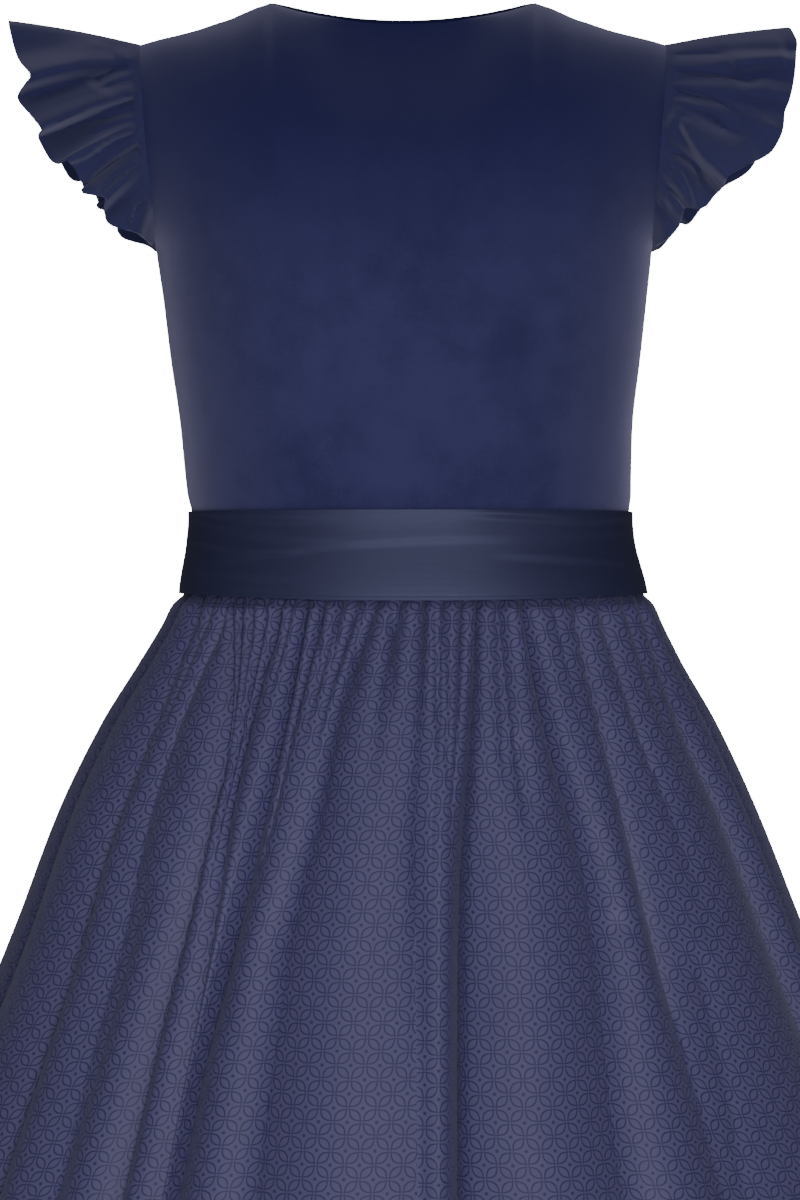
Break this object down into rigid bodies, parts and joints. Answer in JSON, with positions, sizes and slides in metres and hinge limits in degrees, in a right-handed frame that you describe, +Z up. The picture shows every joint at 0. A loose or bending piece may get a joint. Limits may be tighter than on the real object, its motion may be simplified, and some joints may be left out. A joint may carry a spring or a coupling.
{
  "type": "girl's dirndl dress",
  "caption": "Short girl's dirndl, filled out as worn: velvet bodice with gathered flutter sleeves, satin ribbon sash and apron, gathered jacquard skirt, open at neck, arms and hem.",
  "frame": {"origin": "midway between the shoulders, at the height where they carry the bodice", "axes": "+Z up, -Y the front, +Y the back that the picture shows, +X the wearer's left"},
  "size_m": [0.5576, 0.4755, 0.6784],
  "materials": {
    "velvet": "short navy pile, matt, lighter where it turns away",
    "satin": "smooth navy satin with a soft sheen",
    "jacquard": "tone-on-tone woven lattice of small leaves and dots, half matt"
  },
  "bodies": {
    "root": {"bodice_back": "velvet", "bodice_front_left": "velvet", "bodice_front_right": "velvet", "neck_binding_back": "velvet", "neck_binding_front_left": "velvet", "neck_binding_front_right": "velvet", "sleeve_left": "velvet", "sleeve_right": "velvet", "sash_back": "satin", "sash_front": "satin", "skirt_back": "jacquard", "skirt_front": "jacquard", "apron": "satin"}
  },
  "joints": []
}
